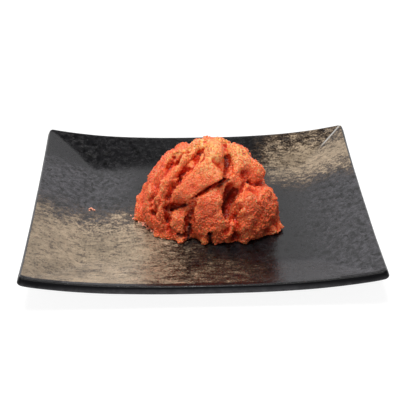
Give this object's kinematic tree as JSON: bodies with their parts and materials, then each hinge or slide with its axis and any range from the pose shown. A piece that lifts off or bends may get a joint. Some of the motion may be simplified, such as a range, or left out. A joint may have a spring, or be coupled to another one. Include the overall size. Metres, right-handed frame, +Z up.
{
  "type": "mentaiko on a plate",
  "caption": "Loose seasoned cod roe heaped in craggy folds on a shallow rectangular stoneware plate with raised corners.",
  "frame": {"origin": "centre of the underside of the plate's foot, which is the centre of the whole part's base", "axes": "+X along the plate's long side, to the right as seen from its front; +Y from the front to the back; +Z up"},
  "size_m": [0.2038, 0.1634, 0.0616],
  "materials": {
    "plate": "satin",
    "roe_heap": "moist"
  },
  "bodies": {
    "root": {"plate": "plate", "roe_heap": "roe_heap"}
  },
  "joints": []
}
